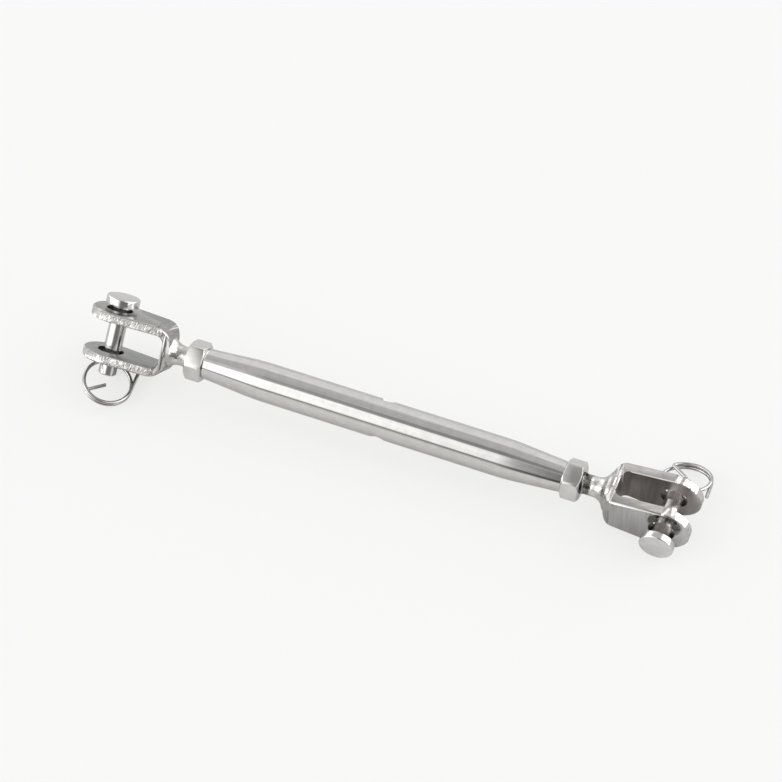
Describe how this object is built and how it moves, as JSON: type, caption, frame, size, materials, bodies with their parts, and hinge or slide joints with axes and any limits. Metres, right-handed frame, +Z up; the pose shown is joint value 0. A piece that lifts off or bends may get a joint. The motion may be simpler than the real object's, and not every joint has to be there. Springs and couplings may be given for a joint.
{
  "type": "rigging screw",
  "caption": "Closed-body rigging screw for a boat's shroud: a tapered threaded barrel between two forked jaws, each with a lock nut, a clevis pin and a split ring.",
  "frame": {"origin": "middle of the barrel, where its cross hole meets its axis", "axes": "+X along the barrel from the left-hand thread to the right-hand thread, +Z up as it lies, +Y away from the viewer"},
  "size_m": [0.1769, 0.0391, 0.0211],
  "materials": {
    "tube_steel": "polished stainless steel, drawn lengthwise",
    "nut_steel": "plain stainless steel, milled flats",
    "jaw_steel": "polished faces with tumbled, uneven cut edges",
    "pin_steel": "turned stainless steel",
    "wire_steel": "bright drawn stainless wire"
  },
  "bodies": {
    "left_jaw": {"left_jaw": "jaw_steel"},
    "left_lock_nut": {"left_lock_nut": "nut_steel"},
    "barrel": {"barrel": "tube_steel"},
    "right_lock_nut": {"right_lock_nut": "nut_steel"},
    "right_jaw": {"right_jaw": "jaw_steel"},
    "left_clevis_pin": {"left_clevis_pin": "pin_steel"},
    "right_clevis_pin": {"right_clevis_pin": "pin_steel"},
    "left_split_ring": {"left_split_ring": "wire_steel"},
    "right_split_ring": {"right_split_ring": "wire_steel"}
  },
  "joints": [
    {"name": "left_lock_nut_slide", "type": "slide", "parent": "left_jaw", "child": "left_lock_nut", "axis": [1, 0, 0], "range_m": [-0.00051, 0.03672]},
    {"name": "barrel_turn", "type": "hinge", "parent": "left_lock_nut", "child": "barrel", "pos_m": [0, 0, 0], "axis": [-1, 0, 0], "range_deg": [-183.6, 13219.2]},
    {"name": "right_lock_nut_turn", "type": "hinge", "parent": "barrel", "child": "right_lock_nut", "pos_m": [0.0521, 0, 0], "axis": [1, 0, 0], "range_deg": [0, 180]},
    {"name": "right_jaw_slide", "type": "slide", "parent": "left_jaw", "child": "right_jaw", "axis": [1, 0, 0], "range_m": [-0.001, 0.072]},
    {"name": "left_pin_slide", "type": "slide", "parent": "left_jaw", "child": "left_clevis_pin", "axis": [0, 0.6743, 0.7385], "range_m": [-0.00115, 0.0005]},
    {"name": "right_pin_slide", "type": "slide", "parent": "right_jaw", "child": "right_clevis_pin", "axis": [0, -1, 0], "range_m": [-0.0025, 0.0001]},
    {"name": "left_ring_swing", "type": "hinge", "parent": "left_clevis_pin", "child": "left_split_ring", "pos_m": [-0.0799, -0.00489, -0.00698], "axis": [0.8829, 0.3467, -0.3166], "range_deg": [-21, 95]},
    {"name": "right_ring_swing", "type": "hinge", "parent": "right_clevis_pin", "child": "right_split_ring", "pos_m": [0.0813, 0.0075, -0.0011], "axis": [0.9613, 0, 0.2756], "range_deg": [-35, 85]}
  ],
  "couplings": [
    {"joint": "left_lock_nut_slide", "follows": "right_jaw_slide", "ratio": 0.5},
    {"joint": "barrel_turn", "follows": "right_jaw_slide", "rad_per_m": 3141.6}
  ]
}
